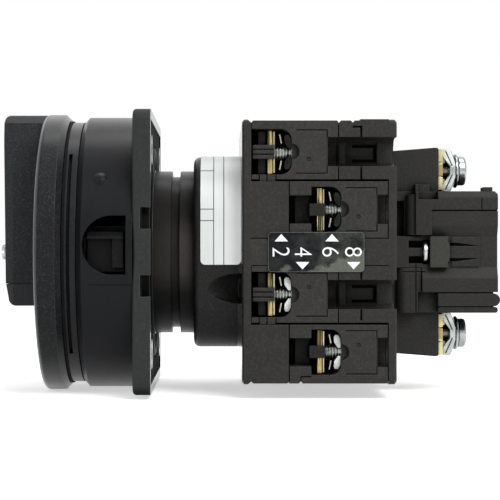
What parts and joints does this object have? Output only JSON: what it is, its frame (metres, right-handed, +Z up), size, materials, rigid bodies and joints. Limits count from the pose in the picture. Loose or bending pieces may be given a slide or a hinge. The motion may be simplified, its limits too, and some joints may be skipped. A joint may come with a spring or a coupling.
{
  "type": "rotary safety switch",
  "caption": "Rotary cam safety switch with a padlockable thumb-grip handle, square panel plate, collar, stacked contact block with screw terminals and a rear terminal block.",
  "frame": {"origin": "on the turning axis, in the plane of the square plate's back, where it meets the panel", "axes": "+X along the turning axis from the handle to the rear terminals, +Z up along the grip, -Y towards the side with the number plate"},
  "size_m": [0.1218, 0.0682, 0.0682],
  "materials": {
    "handle_black": "grained matt",
    "slide_black": "fine satin",
    "housing_black": "satin",
    "plate_black": "matt",
    "neck_brown": "satin",
    "block_grey": "matt",
    "stage_grey": "matt",
    "rear_grey": "matt",
    "gasket_grey": "soft matt",
    "seal_black": "soft matt",
    "label_silver": "silver film",
    "number_navy": "glossy film",
    "shaft_steel": "drawn",
    "spring_steel": "bright",
    "screw_zinc": "zinc plated",
    "terminal_brass": "bare",
    "bridge_copper": "bare",
    "contact_silver": "satin silver",
    "inner_white": "moulded",
    "cam_red": "moulded"
  },
  "bodies": {
    "root": {"seal_washer": "seal_black", "index_ring": "housing_black", "round_housing": "housing_black", "latch_spring": "spring_steel", "frame_plate": "plate_black", "panel_gasket": "gasket_grey", "neck_bush": "neck_brown", "bush_nut": "neck_brown", "shaft_seal": "seal_black", "front_housing": "block_grey", "rating_label": "label_silver", "detent_springs": "spring_steel", "stage_1_housing": "stage_grey", "stage_2_housing": "stage_grey", "rear_cover": "block_grey", "number_plate": "number_navy", "terminal_bars_1": "terminal_brass", "terminal_bars_2": "terminal_brass", "fixed_contact_tips": "contact_silver", "clamp_washers": "terminal_brass", "saddle_washers": "screw_zinc", "terminal_screws_1": "screw_zinc", "terminal_screws_2": "screw_zinc", "tie_screws": "screw_zinc", "rear_block": "rear_grey", "rear_terminal_plates": "terminal_brass", "rear_saddle_washers": "screw_zinc", "rear_terminal_screws": "screw_zinc", "rear_fixing_screw": "screw_zinc", "contact_spring_1": "spring_steel", "contact_spring_2": "spring_steel", "contact_spring_3": "spring_steel", "contact_spring_4": "spring_steel"},
    "handle": {"grip": "handle_black", "grip_screw": "screw_zinc", "handle_disc": "handle_black", "hub_circlip": "spring_steel", "coupling_sleeve": "inner_white", "drive_shaft": "shaft_steel", "detent_wheel": "inner_white", "cam_1": "cam_red", "cam_2": "cam_red"},
    "padlock_slide": {"lock_slide": "slide_black"},
    "latch": {"window_latch": "slide_black"},
    "contact_1": {"plunger_1": "inner_white", "bridge_1": "bridge_copper"},
    "contact_2": {"plunger_2": "inner_white", "bridge_2": "bridge_copper"},
    "contact_3": {"plunger_3": "inner_white", "bridge_3": "bridge_copper"},
    "contact_4": {"plunger_4": "inner_white", "bridge_4": "bridge_copper"}
  },
  "joints": [
    {"name": "handle_turn", "type": "hinge", "parent": "root", "child": "handle", "pos_m": [0, 0, 0], "axis": [1, 0, 0], "range_deg": [0, 90], "deforming": ["detent_springs"]},
    {"name": "padlock_slide_pull", "type": "slide", "parent": "handle", "child": "padlock_slide", "axis": [0, 0, -1], "range_m": [0, 0.014]},
    {"name": "latch_press", "type": "slide", "parent": "root", "child": "latch", "axis": [0, 1, 0], "range_m": [0, 0.0015], "stiffness_N_per_m": 500, "springref_m": -0.001, "deforming": ["latch_spring"]},
    {"name": "contact_1_close", "type": "slide", "parent": "root", "child": "contact_1", "axis": [0, 0, -1], "range_m": [0, 0.00242], "deforming": ["contact_spring_1"]},
    {"name": "contact_2_close", "type": "slide", "parent": "root", "child": "contact_2", "axis": [0, 0, 1], "range_m": [0, 0.00242], "deforming": ["contact_spring_2"]},
    {"name": "contact_3_close", "type": "slide", "parent": "root", "child": "contact_3", "axis": [0, 0, -1], "range_m": [0, 0.00242], "deforming": ["contact_spring_3"]},
    {"name": "contact_4_close", "type": "slide", "parent": "root", "child": "contact_4", "axis": [0, 0, 1], "range_m": [0, 0.00242], "deforming": ["contact_spring_4"]}
  ],
  "couplings": [
    {"joint": "contact_1_close", "follows": "handle_turn", "m_per_rad": 0.0015279},
    {"joint": "contact_2_close", "follows": "handle_turn", "m_per_rad": 0.0015279},
    {"joint": "contact_3_close", "follows": "handle_turn", "m_per_rad": 0.0015279},
    {"joint": "contact_4_close", "follows": "handle_turn", "m_per_rad": 0.0015279}
  ]
}
